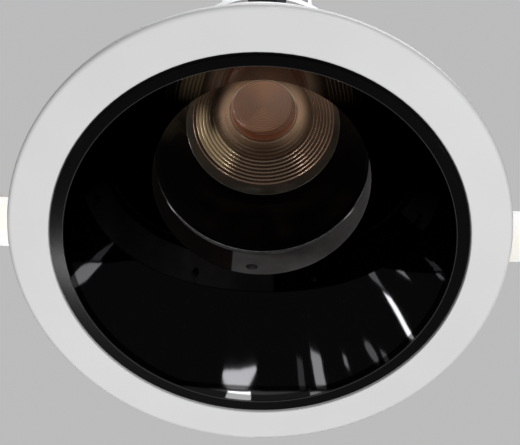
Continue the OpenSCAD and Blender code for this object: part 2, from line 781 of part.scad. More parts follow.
// Round holder that presses the board onto the heat sink
module light_holder() {
    color([0.9, 0.9, 0.88]) difference() {
        translate([0, 0, holder_z]) cylinder(r=holder_r, h=holder_t);
        cylinder(r=holder_window_r, h=reach);
        translate([-board_w / 2 - board_gap, -board_w / 2 - board_gap, board_z - seat_gap])
            cube([board_w + 2 * board_gap, board_w + 2 * board_gap, reach]);
        for (side = [0, 180]) rotate([0, 0, side]) translate([holder_screw_c, 0, 0]) {
            cylinder(r=screw_r + fit, h=reach);
            cylinder(r=head_r(screw_r) + touch_gap, h=holder_seat_z);
        }
    }
}

// Screws of the holder, driven from the front into the heat sink
module holder_screws() {
    color("silver") for (side = [0, 180]) rotate([0, 0, side]) translate([holder_screw_c, 0, 0])
        mirror([0, 0, 1]) pan_screw(screw_r, -sink_top + sink_base_t / 5, -holder_seat_z);
}

// Square ceramic board of the light source
module light_board() {
    color("white") translate([-board_w / 2, -board_w / 2, board_z]) cube([board_w, board_w, board_t]);
}

// Yellow disc that gives the light
module light_disc() {
    color([0.95, 0.8, 0.2]) translate([0, 0, disc_z]) cylinder(r=disc_d / 2, h=disc_t);
}

// Soft pad between the board and the heat sink
module heat_pad() {
    color([0.5, 0.55, 0.6]) translate([-board_w / 2, -board_w / 2, pad_z]) cube([board_w, board_w, pad_t]);
}

// Heat sink with a core and fins standing round it
module heat_sink() {
    color([0.3, 0.31, 0.32]) difference() {
        union() {
            translate([0, 0, housing_top]) cylinder(r=housing_r, h=sink_base_t);
            translate([0, 0, sink_top - 1]) cylinder(r=core_r, h=fin_h + 1);
            for (i = [0:fin_count - 1]) rotate([0, 0, i * fin_turn]) fin();
        }
        sink_screws_at() cylinder(r=screw_r + fit, h=reach);
        for (side = [0, 180]) rotate([0, 0, side]) translate([holder_screw_c, 0, 0])
            cylinder(r=screw_r + fit, h=sink_top - sink_base_t / 10);
    }
}

// One fin, with its outer top corner cut off
module fin() {
    rotate([90, 0, 0]) linear_extrude(fin_t, center=true) polygon([
        [core_r / 2, sink_top - 1], [fin_r, sink_top - 1], [fin_r, sink_top + fin_h - fin_corner],
        [fin_r - fin_corner, sink_top + fin_h], [core_r / 2, sink_top + fin_h]
    ]);
}

// Screws that hold the heat sink to the housing
module sink_screws() {
    color("silver") sink_screws_at() pan_screw(screw_r, housing_top - 0.9 * sink_screw_depth, sink_top);
}

// Turns a piece that is drawn along +Z to the gland's axis, pointing out of the head's side
module at_gland() {
    translate([0, 0, gland_z]) rotate([90, 0, 0]) children();
}

// Supply gland with its six-sided flange and its bore
module gland_body() {
    color([0.1, 0.1, 0.1]) at_gland() difference() {
        union() {
            translate([0, 0, housing_in - 2])
                cylinder(r=gland_r, h=gland_face + gland_tube - housing_in + 2);
            translate([0, 0, gland_face]) cylinder(r=gland_hex_r, h=gland_hex_t, $fn=6);
        }
        cylinder(r=gland_bore_r, h=reach);
    }
}

// Dome nut that tightens the gland
module gland_nut() {
    nut_z = gland_face + gland_hex_t + 2 * seat_gap;
    end_z = gland_face + gland_len;
    dome_r = gland_hex_r - 0.9;
    color([0.14, 0.14, 0.14]) at_gland() difference() {
        union() {
            translate([0, 0, nut_z]) cylinder(r=gland_hex_r, h=4, $fn=6);
            turned([
                [0, nut_z + 3], [dome_r, nut_z + 3], [dome_r, end_z - 3], [gland_bore_r + 1, end_z],
                [0, end_z]
            ]);
        }
        translate([0, 0, nut_z - 1])
            cylinder(r=gland_r + fit, h=gland_face + gland_tube + 1 + 2 * seat_gap - nut_z);
        cylinder(r=gland_bore_r + 0.2, h=reach);
    }
}

// Pin that a clip turns on
module clip_pin() {
    color("silver") translate([clip_x, 0, clip_z]) rotate([90, 0, 0])
        cylinder(r=clip_pin_r, h=pin_len, center=true);
}

// Steel arm of a clip with its two cheeks, lying outwards
module clip_arm() {
    color([0.75, 0.76, 0.78]) translate([clip_x, 0, clip_z]) difference() {
        union() {
            translate([0, 0, -clip_under]) linear_extrude(clip_t) polygon([
                [-clip_heel, -clip_w / 2], [0.8 * tip_start, -clip_w / 2], [tip_start, -tip_w / 2],
                [clip_len - tip_chamfer, -tip_w / 2], [clip_len, -tip_w / 2 + tip_chamfer],
                [clip_len, tip_w / 2 - tip_chamfer], [clip_len - tip_chamfer, tip_w / 2],
                [tip_start, tip_w / 2], [0.8 * tip_start, clip_w / 2], [-clip_heel, clip_w / 2]
            ]);
            for (side = [-1, 1]) translate([0, side * (clip_w - cheek_t) / 2 + cheek_t / 2, 0])
                rotate([90, 0, 0]) linear_extrude(cheek_t) {
                    circle(r=cheek_r);
                    polygon([[-clip_heel, -clip_under], [gusset_len, -clip_under],
                             [gusset_len, -clip_offset], [cheek_r, 0], [-cheek_r, 0]]);
                }
        }
        rotate([90, 0, 0]) cylinder(r=clip_pin_r + fit, h=clip_w + 2, center=true);
    }
}

// Soft pad pushed over the end of a clip arm
module clip_pad() {
    inner_z = -clip_under - fit;
    color([0.15, 0.15, 0.15]) translate([clip_x, 0, clip_z]) difference() {
        translate([0, 0, inner_z - clip_pad_t]) linear_extrude(clip_t + 2 * fit + 2 * clip_pad_t) polygon([
            [clip_len - clip_pad_len, -tip_w / 2 - clip_pad_t],
            [clip_len - tip_chamfer, -tip_w / 2 - clip_pad_t],
            [clip_len + clip_pad_t, tip_chamfer - tip_w / 2],
            [clip_len + clip_pad_t, tip_w / 2 - tip_chamfer],
            [clip_len - tip_chamfer, tip_w / 2 + clip_pad_t],
            [clip_len - clip_pad_len, tip_w / 2 + clip_pad_t]
        ]);
        translate([0, 0, inner_z]) linear_extrude(clip_t + 2 * fit) polygon([
            [clip_len - clip_pad_len - 1, -tip_w / 2 - fit],
            [clip_len - tip_chamfer + fit, -tip_w / 2 - fit],
            [clip_len + fit, tip_chamfer - tip_w / 2 - fit], [clip_len + fit, tip_w / 2 - tip_chamfer + fit],
            [clip_len - tip_chamfer + fit, tip_w / 2 + fit],
            [clip_len - clip_pad_len - 1, tip_w / 2 + fit]
        ]);
    }
}

// Route of a clip's spring as [point, radial direction, direction of travel]: up leg, coil, out leg
function coil_step(t) = let (a = 180 + t * (360 * coil_turns + 90), climb = coil_pitch / TAU)
    [[coil_r * cos(a), coil_len * (t - 0.5), coil_r * sin(a)], [cos(a), 0, sin(a)],
     unit([-coil_r * sin(a), climb, coil_r * cos(a)])];
function unit(v) = v / norm(v);
TAU = 2 * PI;
coil_count = coil_rings * coil_turns + coil_rings / 4;
spring_route = concat(
    [for (z = [leg_up, leg_up / 2, 2 * wire_r]) [[-coil_r, -coil_len / 2, z], [-1, 0, 0], [0, 0, -1]]],
    [for (i = [0:coil_count]) coil_step(i / coil_count)],
    [for (x = [2 * wire_r, leg_out / 2, leg_out]) [[x, coil_len / 2, -coil_r], [0, 0, -1], [1, 0, 0]]]
);

// Least distance between parts of the route that lie most of a curl apart
spring_gap = min([
    for (i = [0:len(spring_route) - 1]) for (j = [i + coil_rings / 2 + 1:len(spring_route) - 1])
        norm(spring_route[i][0] - spring_route[j][0])
]) - 2 * wire_r;
echo(str("clip spring: least gap of the wire to itself ", spring_gap, " mm"));

// One unbroken wire, swept along the route with six sides
module clip_spring() {
    sides = 6;
    rings = len(spring_route);
    points = [for (s = spring_route) for (k = [0:sides - 1]) let (b = cross(s[2], s[1]))
        s[0] + wire_r * (cos(60 * k) * s[1] + sin(60 * k) * b)];
    skin = [for (i = [0:rings - 2]) for (k = [0:sides - 1]) for (half = [0, 1])
        let (a = i * sides + k, b = i * sides + (k + 1) % sides)
            half == 0 ? [a, b, a + sides] : [b, b + sides, a + sides]];
    last = (rings - 1) * sides;
    caps = [for (k = [1:sides - 2]) for (end = [0, 1])
        end == 0 ? [0, k + 1, k] : [last, last + k, last + k + 1]];
    color([0.6, 0.6, 0.62]) translate([clip_x, 0, clip_z]) polyhedron(points, concat(skin, caps));
}

trim_ring();
cone_reflector();
bearing_frame();
glide_ring();
bearing_cap();
cap_screws();
swivel_yoke();
sleeve_carrier();
neck_sleeve();
sleeve_rivets();
carrier_screws();
front_cup();
lens();
lens_clamp();
clamp_screws();
head_housing();
pivot_screws();
pivot_washers();
tilt_stop_screws();
light_holder();
holder_screws();
light_board();
light_disc();
heat_pad();
heat_sink();
sink_screws();
gland_body();
gland_nut();
clip_pin();  // clip_pin_right
clip_spring();  // clip_spring_right
clip_arm();  // clip_arm_right
clip_pad();  // clip_pad_right
mirror([1, 0, 0]) clip_pin();  // clip_pin_left
mirror([1, 0, 0]) clip_spring();  // clip_spring_left
mirror([1, 0, 0]) clip_arm();  // clip_arm_left
mirror([1, 0, 0]) clip_pad();  // clip_pad_left
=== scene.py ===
"""Deep recessed downlight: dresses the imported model, and sets up its studio and camera."""

import json
import logging
import math
from abc import ABC, abstractmethod
from collections.abc import Callable
from dataclasses import dataclass, field
from enum import Enum
from typing import Any

import bpy
from mathutils import Matrix, Vector

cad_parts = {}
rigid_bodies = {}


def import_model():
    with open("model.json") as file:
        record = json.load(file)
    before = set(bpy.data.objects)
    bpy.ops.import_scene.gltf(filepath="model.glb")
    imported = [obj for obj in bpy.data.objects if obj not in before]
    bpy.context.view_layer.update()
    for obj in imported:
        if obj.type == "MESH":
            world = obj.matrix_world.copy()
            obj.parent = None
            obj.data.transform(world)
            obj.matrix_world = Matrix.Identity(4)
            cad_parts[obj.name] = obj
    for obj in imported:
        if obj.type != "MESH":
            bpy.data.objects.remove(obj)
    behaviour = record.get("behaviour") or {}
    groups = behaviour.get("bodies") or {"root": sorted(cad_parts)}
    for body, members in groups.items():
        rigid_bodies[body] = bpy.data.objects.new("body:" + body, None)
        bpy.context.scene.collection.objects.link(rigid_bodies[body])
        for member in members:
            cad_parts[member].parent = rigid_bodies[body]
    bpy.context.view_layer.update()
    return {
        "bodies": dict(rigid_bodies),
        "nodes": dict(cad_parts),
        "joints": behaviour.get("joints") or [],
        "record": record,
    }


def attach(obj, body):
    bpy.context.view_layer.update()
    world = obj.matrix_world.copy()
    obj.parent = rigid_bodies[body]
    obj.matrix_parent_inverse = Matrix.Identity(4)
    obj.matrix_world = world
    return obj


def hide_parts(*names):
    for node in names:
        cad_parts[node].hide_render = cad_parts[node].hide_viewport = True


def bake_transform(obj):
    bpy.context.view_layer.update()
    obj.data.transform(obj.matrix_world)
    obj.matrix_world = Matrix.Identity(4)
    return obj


LOG = logging.getLogger("downlight")
MM = 0.001
TAU = 2 * math.pi

# Metres within which points are merged, and within which a point counts as found
WELD = 0.001 * MM
TOUCH = 1e-6
# Faces that meet at less than this are shaded as one
SMOOTH_ANGLE = math.radians(50)

Colour = tuple[float, float, float]
Point2 = tuple[float, float]
Point3 = tuple[float, float, float]


class Axis(Enum):
    """Direction that a pattern runs along."""

    X = 0
    Y = 1
    Z = 2


class Side(Enum):
    """Side of the trim that a spring clip stands on."""

    RIGHT = 1
    LEFT = -1

    @property
    def word(self) -> str:
        """The side's word in the names of nodes and bodies."""
        return self.name.lower()


def shaded(colour: Colour, share: float) -> Colour:
    """Colour at a share of its brightness."""
    red, green, blue = (channel * share for channel in colour)
    return red, green, blue


# Shader nodes, written as expressions


class Socket:
    """Output socket of a shader node, with arithmetic that adds Math nodes."""

    def __init__(self, shader: "Shader", socket: Any) -> None:
        """Wraps a socket.

        Args:
            shader: The material that the socket belongs to.
            socket: The socket itself.
        """
        self.shader = shader
        self.socket = socket

    def _math(self, operation: str, *values: Any, clamp: bool = False) -> "Socket":
        """Adds one Math node.

        Args:
            operation: The node's operation.
            values: Sockets or numbers, in the order of its inputs.
            clamp: Whether the result stays within 0 and 1.

        Returns:
            The node's result.
        """
        return self.shader.node(
            "ShaderNodeMath", {"operation": operation, "use_clamp": clamp}, dict(enumerate(values))
        )

    def __add__(self, other: Any) -> "Socket":
        """Sum with a socket or number."""
        return self._math("ADD", self, other)

    __radd__ = __add__

    def __sub__(self, other: Any) -> "Socket":
        """Difference from a socket or number."""
        return self._math("SUBTRACT", self, other)

    def __rsub__(self, other: Any) -> "Socket":
        """A number less this socket."""
        return self._math("SUBTRACT", other, self)

    def __mul__(self, other: Any) -> "Socket":
        """Product with a socket or number."""
        return self._math("MULTIPLY", self, other)

    __rmul__ = __mul__

    def __truediv__(self, other: Any) -> "Socket":
        """Quotient by a socket or number."""
        return self._math("DIVIDE", self, other)

    def __pow__(self, other: Any) -> "Socket":
        """Power by a socket or number."""
        return self._math("POWER", self, other)

    def sine(self) -> "Socket":
        """Sine of the value."""
        return self._math("SINE", self)

    def absolute(self) -> "Socket":
        """Value without its sign."""
        return self._math("ABSOLUTE", self)

    def limited(self) -> "Socket":
        """Value kept within 0 and 1."""
        return self._math("ADD", self, 0.0, clamp=True)

    def peak(self, centre: float, reach: float) -> "Socket":
        """Rises to 1 at a centre, and falls straight to 0 at a reach on both sides of it."""
        return (1 - ((self - centre) / reach).absolute()).limited()

    def ramp(self, low: float, high: float) -> "Socket":
        """Rises from 0 at low to 1 at high, smoothly.

        Args:
            low: Value that gives 0.
            high: Value that gives 1.

        Returns:
            The stepped value.
        """
        return self.shader.node(
            "ShaderNodeMapRange",
            {"interpolation_type": "SMOOTHSTEP"},
            {"Value": self, "From Min": low, "From Max": high},
        )


class Shader:
    """One material, built from nodes round a Principled BSDF."""

    def __init__(self, name: str) -> None:
        """Starts an empty material.

        Args:
            name: The material's name.
        """
        self.material = bpy.data.materials.new(name)
        self.material.use_nodes = True
        self.tree = self.material.node_tree
        self.tree.nodes.clear()
        self.output = self.tree.nodes.new("ShaderNodeOutputMaterial")
        self.surface = self.tree.nodes.new("ShaderNodeBsdfPrincipled")
        self.tree.links.new(self.surface.outputs[0], self.output.inputs["Surface"])
        self._place: Socket | None = None

    def node(
        self,
        kind: str,
        settings: dict[str, Any] | None = None,
        inputs: dict[Any, Any] | None = None,
        output: int | str = 0,
    ) -> Socket:
        """Adds one node.

        Args:
            kind: The node's type.
            settings: Its properties, which are set before its sockets.
            inputs: Values or sockets for its inputs, by name or number.
            output: The output that is wanted.

        Returns:
            The wrapped output.
        """
        node = self.tree.nodes.new(kind)
        for key, value in (settings or {}).items():
            setattr(node, key, value)
        for key, value in (inputs or {}).items():
            self.feed(node.inputs[key], value)
        return Socket(self, node.outputs[output])

    def feed(self, socket: Any, value: Any) -> None:
        """Links a socket, or sets its value.

        Args:
            socket: Input that is fed.
            value: A wrapped socket, a number or a tuple.
        """
        if isinstance(value, Socket):
            self.tree.links.new(value.socket, socket)
        elif isinstance(value, tuple) and len(value) == 3 and socket.type == "RGBA":
            socket.default_value = (*value, 1.0)
        else:
            socket.default_value = value

    @property
    def place(self) -> Socket:
        """Object coordinates, in metres."""
        if self._place is None:
            self._place = self.node("ShaderNodeTexCoord", output="Object")
        return self._place

    def along(self, axis: Axis) -> Socket:
        """One of the object coordinates."""
        return self.node("ShaderNodeSeparateXYZ", inputs={0: self.place}, output=axis.value)

    def radius(self) -> Socket:
        """Distance from the Z axis."""
        x, y = self.along(Axis.X), self.along(Axis.Y)
        return (x * x + y * y) ** 0.5

    def facing(self, azimuth: float) -> Socket:
        """Tells how nearly a point lies in one direction from the Z axis.

        Args:
            azimuth: The direction, in degrees from +X towards +Y.

        Returns:
            Cosine of the angle between the two, from -1 to 1.
        """
        angle = math.radians(azimuth)
        across = self.along(Axis.X) * math.cos(angle) + self.along(Axis.Y) * math.sin(angle)
        return across / self.radius()

    def noise(
        self, size: float, detail: float = 3.0, rough: float = 0.5, scale: Point3 = (1, 1, 1)
    ) -> Socket:
        """Noise whose lumps have a size in metres.

        Args:
            size: Size of a lump.
            detail: Octaves.
            rough: Strength of the finer octaves.
            scale: How many times finer it is along each axis.

        Returns:
            The noise, from 0 to 1.
        """
        place = self.node("ShaderNodeMapping", inputs={"Vector": self.place, "Scale": scale})
        return self.node(
            "ShaderNodeTexNoise",
            inputs={"Vector": place, "Scale": 1 / size, "Detail": detail, "Roughness": rough},
        )

    def wipes(self, size: float, squeeze: float, low: float) -> Socket:
        """Faint marks of wiping, longer round the Z axis than along it.

        Args:
            size: Length of a mark.
            squeeze: How many times shorter it is along Z.
            low: Value of the noise at which marks start to show.

        Returns:
            The marks' strength, from 0 to 1.
        """
        return self.noise(size, rough=0.6, scale=(1, 1, squeeze)).ramp(low, low + 0.25)

    def mix(self, factor: Any, first: Any, second: Any) -> Socket:
        """Colour between two colours."""
        return self.node(
            "ShaderNodeMix", {"data_type": "RGBA"}, {0: factor, 6: first, 7: second}, output=2
        )

    def bump(self, height: Any, distance: float) -> Socket:
        """Normal bent by a height from 0 to 1, where 1 is a distance in metres."""
        return self.node("ShaderNodeBump", inputs={"Height": height, "Distance": distance})

    def dress(self, **values: Any) -> bpy.types.Material:
        """Feeds the surface's sockets.

        Args:
            values: Values by socket name, with _ for a space.

        Returns:
            The finished material.
        """
        for name, value in values.items():
            self.feed(self.surface.inputs[name.replace("_", " ")], value)
        return self.material


# Finishes


@dataclass(frozen=True)
class Finish(ABC):
    """Finish of some pieces, under its material's name."""

    name: str

    @abstractmethod
    def make(self) -> bpy.types.Material:
        """Builds the material."""


@dataclass(frozen=True)
class PowderCoat(Finish):
    """Sprayed and baked coat with fine peel and slow changes of shade."""

    colour: Colour
    roughness: float
    grain: float = 0.35 * MM
    height: float = 0.004 * MM
    cloud: float = 0.02
    cloud_size: float = 18 * MM

    def make(self) -> bpy.types.Material:
        """Builds the material.

        Returns:
            The finished material.
        """
        s = Shader(self.name)
        peel = s.noise(self.grain, detail=2.0)
        slow = s.noise(self.cloud_size, detail=2.0).ramp(0.35, 0.65)
        return s.dress(
            Base_Color=s.mix(slow, shaded(self.colour, 1 - self.cloud), self.colour),
            Roughness=self.roughness - 0.03 + 0.06 * peel,
            Normal=s.bump(peel, self.height),
        )


@dataclass(frozen=True)
class GlossBlack(Finish):
    """Deep black gloss with faint wipe marks, as on moulded or lacquered anti-glare parts."""

    colour: Colour
    roughness: float
    mirror: float
    wave: float
    wave_size: float = 9 * MM
    dust: Colour = (0.05, 0.05, 0.052)
    dust_size: float = 0.5 * MM

    def make(self) -> bpy.types.Material:
        """Builds the material.

        Returns:
            The finished material.
        """
        s = Shader(self.name)
        wipe = s.wipes(6 * MM, 2.5, 0.55)
        dust = s.noise(self.dust_size, detail=1.0).ramp(0.74, 0.8)
        return s.dress(
            Base_Color=s.mix(dust * 0.25, self.colour, self.dust),
            Roughness=self.roughness + 0.04 * wipe + 0.08 * dust,
            Specular_IOR_Level=self.mirror,
            Normal=s.bump(s.noise(self.wave_size, detail=1.0), self.wave),
        )


@dataclass(frozen=True)
class RimmedCup(Finish):
    """Deep black of the head's cup, with a painted highlight: a thin light line along its rim,
    brighter towards one side.
    """

    rim_z: float
    line_r: float
    line_reach: float = 0.2 * MM
    # Azimuth in degrees towards which the painted rim highlight is brightest
    highlight_side: float = 56.5
    colour: Colour = (0.003, 0.003, 0.0032)
    # Colour of the painted highlight along the rim
    rim: Colour = (0.70, 0.70, 0.70)

    def make(self) -> bpy.types.Material:
        """Builds the material.

        Returns:
            The finished material.
        """
        s = Shader(self.name)
        edge = 1 - s.along(Axis.Z).ramp(self.rim_z, self.rim_z + 0.1 * MM)
        line = edge * s.radius().peak(self.line_r, self.line_reach)
        # Painted highlight: a thin light line on the rim face, brightest towards one side and
        # broken up by noise
        highlight_facing = s.facing(self.highlight_side).ramp(-0.3, 0.5)
        highlight_breaks = s.noise(1.5 * MM).ramp(0.35, 0.65)
        rim_highlight = line * (0.15 + 0.85 * highlight_facing) * (0.6 + 0.4 * highlight_breaks)
        return s.dress(
            Base_Color=s.mix(rim_highlight, self.colour, self.rim),
            Roughness=0.07 + 0.05 * s.wipes(6 * MM, 2.5, 0.55) + 0.2 * edge,
            Specular_IOR_Level=0.025,
        )


@dataclass(frozen=True)
class BareMetal(Finish):
    """Metal with fine tool or rolling marks along one axis, and duller and brighter patches."""

    colour: Colour
    roughness: float
    along: Axis = Axis.Z
    mark: float = 0.25 * MM
    tint: Colour | None = None
    drawn: float = 0.04
    patch_size: float = 7 * MM

    def make(self) -> bpy.types.Material:
        """Builds the material.

        Returns:
            The finished material.
        """
        s = Shader(self.name)
        scale = tuple(self.drawn if axis is self.along else 1.0 for axis in Axis)
        marks = s.noise(self.mark, detail=2.0, scale=scale)
        patch = s.noise(self.patch_size).ramp(0.35, 0.7)
        return s.dress(
            Base_Color=s.mix(patch, self.tint or shaded(self.colour, 0.86), self.colour),
            Metallic=1.0,
            Roughness=self.roughness - 0.06 + 0.14 * marks + 0.05 * patch,
            Normal=s.bump(marks, 0.003 * MM),
        )


@dataclass(frozen=True)
class CastMetal(Finish):
    """Die-cast metal with a blasted grain and slight flow marks."""

    colour: Colour
    roughness: float
    grain: float = 0.22 * MM
    height: float = 0.012 * MM
    flow_size: float = 11 * MM

    def make(self) -> bpy.types.Material:
        """Builds the material.

        Returns:
            The finished material.
        """
        s = Shader(self.name)
        grain = s.noise(self.grain, detail=2.0, rough=0.6)
        flow = s.noise(self.flow_size, detail=4.0, rough=0.55, scale=(1, 1, 0.4)).ramp(0.3, 0.75)
        return s.dress(
            Base_Color=s.mix(flow, shaded(self.colour, 0.82), self.colour),
            Metallic=1.0,
            Roughness=self.roughness - 0.05 + 0.12 * grain,
            Normal=s.bump(grain, self.height),
        )


@dataclass(frozen=True)
class Moulded(Finish):
    """Moulded plastic or rubber with a fine eroded texture."""

    colour: Colour
    roughness: float
    grain: float = 0.3 * MM
    height: float = 0.008 * MM
    speck: Colour | None = None
    cloud_size: float = 9 * MM

    def make(self) -> bpy.types.Material:
        """Builds the material.

        Returns:
            The finished material.
        """
        s = Shader(self.name)
        grain = s.noise(self.grain, rough=0.6)
        if self.speck:
            shade = s.mix(grain.ramp(0.56, 0.66), self.colour, self.speck)
        else:
            slow = s.noise(self.cloud_size, detail=2.0).ramp(0.3, 0.7)
            shade = s.mix(slow, self.colour, shaded(self.colour, 0.9))
        return s.dress(
            Base_Color=shade,
            Roughness=self.roughness - 0.05 + 0.1 * grain,
            Normal=s.bump(grain, self.height),
        )


@dataclass(frozen=True)
class SatinSleeve(Finish):
    """Satin black sleeve with a painted reflection: a light band from an edge on X, lighter
    towards +X; its skirt is deep black.
    """

    # Where the painted reflection starts, on X
    reflection_edge_x: float
    skirt_z: float
    # Span on X over which the painted reflection grows lighter
    reflection_bright_x: Point2 = (2 * MM, 26 * MM)
    dark: Colour = (0.004, 0.004, 0.004)
    # Colours of the painted reflection, at its dim start and at its light end
    reflection_dim: Colour = (0.13, 0.13, 0.13)
    reflection_bright: Colour = (0.34, 0.34, 0.34)
    dust: Colour = (0.2, 0.2, 0.2)
    dust_size: float = 0.4 * MM
    cloud_size: float = 6 * MM

    def make(self) -> bpy.types.Material:
        """Builds the material.

        Returns:
            The finished material.
        """
        s = Shader(self.name)
        # Painted reflection: a light band past an edge on X, lighter towards +X; elsewhere the
        # sleeve keeps its own black
        reflection_side = s.along(Axis.X).ramp(self.reflection_edge_x, self.reflection_edge_x + 0.4 * MM)
        skirt = s.along(Axis.Z).ramp(self.skirt_z, self.skirt_z + 0.1 * MM)
        cloud = s.noise(self.cloud_size, rough=0.6).ramp(0.3, 0.75)
        dust = s.noise(self.dust_size, detail=1.0).ramp(0.72, 0.8)
        painted_reflection = s.mix(s.along(Axis.X).ramp(*self.reflection_bright_x), self.reflection_dim, self.reflection_bright)
        shade = s.mix(reflection_side * (0.75 + 0.25 * cloud) * (1 - skirt), self.dark, painted_reflection)
        return s.dress(
            Base_Color=s.mix(dust * 0.2, shade, self.dust),
            Roughness=0.34 + 0.08 * cloud,
            Specular_IOR_Level=0.12,
            Normal=s.bump(dust, 0.003 * MM),
        )


@dataclass(frozen=True)
class MirrorCone(Finish):
    """Black chrome mirror of the cone, dark at grazing angles, with a plain gloss black lip that
    has painted highlights along its two edges.
    """

    lip_r: float
    edge_r: float
    roll_z: float
    roll: Colour = (0.018, 0.018, 0.018)
    mirror: Colour = (0.074, 0.074, 0.076)
    lip: Colour = (0.0022, 0.0022, 0.0024)
    # Colour of the painted highlight lines at the lip's edges
    edge: Colour = (0.055, 0.055, 0.055)
    dust: Colour = (0.05, 0.05, 0.052)
    dust_size: float = 0.45 * MM
    grazing: Colour = (0.12, 0.12, 0.12)

    def make(self) -> bpy.types.Material:
        """Builds the material.

        Returns:
            The finished material.
        """
        s = Shader(self.name)
        r = s.radius()
        inside = 1 - r.ramp(self.lip_r - 0.25 * MM, self.lip_r - 0.05 * MM)
        wipe = s.wipes(5 * MM, 3.0, 0.6)
        dust = s.noise(self.dust_size, detail=1.0).ramp(0.76, 0.82)
        # Painted highlights: thin light lines at the lip's outer edge and at its inner edge
        outer_edge = r.ramp(self.edge_r - 0.14 * MM, self.edge_r - 0.02 * MM)
        edge_highlights = (outer_edge + r.peak(self.lip_r, 0.12 * MM)).limited()
        past_roll = s.along(Axis.Z).ramp(self.roll_z, self.roll_z + 0.5 * MM)
        shade = s.mix(inside, self.lip, s.mix(past_roll, self.roll, self.mirror))
        shade = s.mix(edge_highlights, shade, self.edge)
        return s.dress(
            Base_Color=s.mix(dust * 0.2, shade, self.dust),
            Metallic=inside * (1 - 0.4 * dust),
            Roughness=0.13 - 0.10 * inside + 0.02 * wipe + 0.1 * dust,
            Specular_IOR_Level=0.2,
            Specular_Tint=self.grazing,
        )


@dataclass(frozen=True)
class BronzeOptic(Finish):
    """Bronze-tinted optic: its colour follows the radius, from the smoky rim to the reddish well,
    with painted light laid over it.

    Sides are azimuths in degrees: the ridges are painted lit on one side, with highlights on their
    crests, and a patch of painted shade lies on the other.
    """

    funnel_r: float
    fine_r: float
    smooth_r: float
    well_r: float
    well_z: float
    ring: float
    pitch: float
    blush_r: float = 12 * MM
    # Painted light: the side and the radii where the ridges are painted lit
    lit_side: float = 155.0
    lit_ridge_r: Point2 = (21.4 * MM, 22.6 * MM)
    shade_side: float = 190.0
    shade_r: float = 17.2 * MM
    shade_reach: float = 2.8 * MM
    body: Colour = (0.17, 0.108, 0.07)
    body_lit: Colour = (0.40, 0.25, 0.165)
    # Painted light: the lit ridges' colours, from their valleys to their crests, which carry
    # painted highlights
    valley: Colour = (0.46, 0.30, 0.155)
    crest: Colour = (1.0, 0.77, 0.46)
    fine: Colour = (0.15, 0.086, 0.05)
    smooth: Colour = (0.27, 0.155, 0.09)
    # Painted highlight: sheen to the left and right of the smooth part
    fan_highlight: Colour = (1.0, 0.66, 0.43)
    shade: Colour = (0.03, 0.02, 0.014)
    bead: Colour = (0.25, 0.14, 0.08)
    bead_lit: Colour = (1.0, 0.86, 0.66)
    wall: Colour = (0.66, 0.32, 0.19)
    disc_valley: Colour = (0.27, 0.122, 0.058)
    disc_crest: Colour = (0.36, 0.175, 0.09)
    rim: Colour = (0.062, 0.058, 0.047)
    haze: Colour = (0.30, 0.19, 0.13)

    def make(self) -> bpy.types.Material:
        """Builds the material.

        Returns:
            The finished material.
        """
        s = Shader(self.name)
        r, x = s.radius(), s.facing(0.0)

        rim = r.ramp(self.funnel_r, self.funnel_r + 0.15 * MM)
        fine = 1 - r.ramp(self.fine_r, self.fine_r + 0.6 * MM)
        inner = 1 - r.ramp(self.smooth_r, self.smooth_r + 0.6 * MM)
        disc = 1 - r.ramp(self.well_r - 0.25 * MM, self.well_r - 0.1 * MM)
        wall = s.along(Axis.Z).ramp(self.well_z, self.well_z + 0.3 * MM)
        wall = wall * (1 - disc) * (1 - r.ramp(self.well_r, self.blush_r))
        # Painted highlight: fans of sheen to the left and right of the smooth part
        fan_highlight = x * x * (0.95 + 0.05 * x)
        fan_highlight = fan_highlight * (1 - r.ramp(self.smooth_r - 1 * MM, self.smooth_r + 4 * MM))
        # Painted light: the ridges lit in one sector, with highlights painted on their crests, and
        # a patch of painted shade on the other side
        clear = s.facing(self.lit_side).ramp(0.74, 0.98) * (1 - r.ramp(*self.lit_ridge_r))
        shade = r.peak(self.shade_r, self.shade_reach) * s.facing(self.shade_side).ramp(0.78, 0.97)
        bead = r.peak(self.well_r + 0.45 * MM, 0.4 * MM)
        bead_lit = s.facing(-90.0).ramp(0.1, 0.5)
        rings = (r * (TAU / self.ring)).sine() * 0.5 + 0.5
        # 1 at the ridges' crests, where the painted highlights lie
        ridges = 0.5 - ((self.funnel_r - r) * (TAU / self.pitch) + TAU / 4).sine() * 0.5

        colour = s.mix(x.ramp(0.5, 1.0), self.body, self.body_lit)
        colour = s.mix(clear, colour, s.mix(ridges, self.valley, self.crest))
        colour = s.mix(fine, colour, self.fine)
        colour = s.mix(inner, colour, self.smooth)
        colour = s.mix(fan_highlight, colour, self.fan_highlight)
        colour = s.mix((shade * 1.2).limited(), colour, self.shade)
        colour = s.mix(bead, colour, s.mix(bead_lit, self.bead, self.bead_lit))
        colour = s.mix(wall, colour, self.wall)
        colour = s.mix(disc, colour, s.mix(rings, self.disc_valley, self.disc_crest))
        colour = s.mix(rim, colour, self.rim)

        speck = s.noise(0.5 * MM, detail=2.0)
        cloud = s.noise(5 * MM, detail=2.0).ramp(0.3, 0.75)
        metal = 0.72 - 0.5 * rim - 0.35 * wall - 0.3 * disc - 0.6 * fan_highlight
        rough = 0.22 - 0.07 * clear + 0.10 * fine - 0.04 * rim + 0.1 * wall + 0.04 * speck
        return s.dress(
            Base_Color=s.mix(cloud * 0.15, colour, self.haze),
            Metallic=(metal - 0.4 * clear * (1 - inner)).limited(),
            Roughness=rough,
            Coat_Weight=0.2,
            Coat_Roughness=0.08,
            Normal=s.bump(cloud, 0.01 * MM),
        )


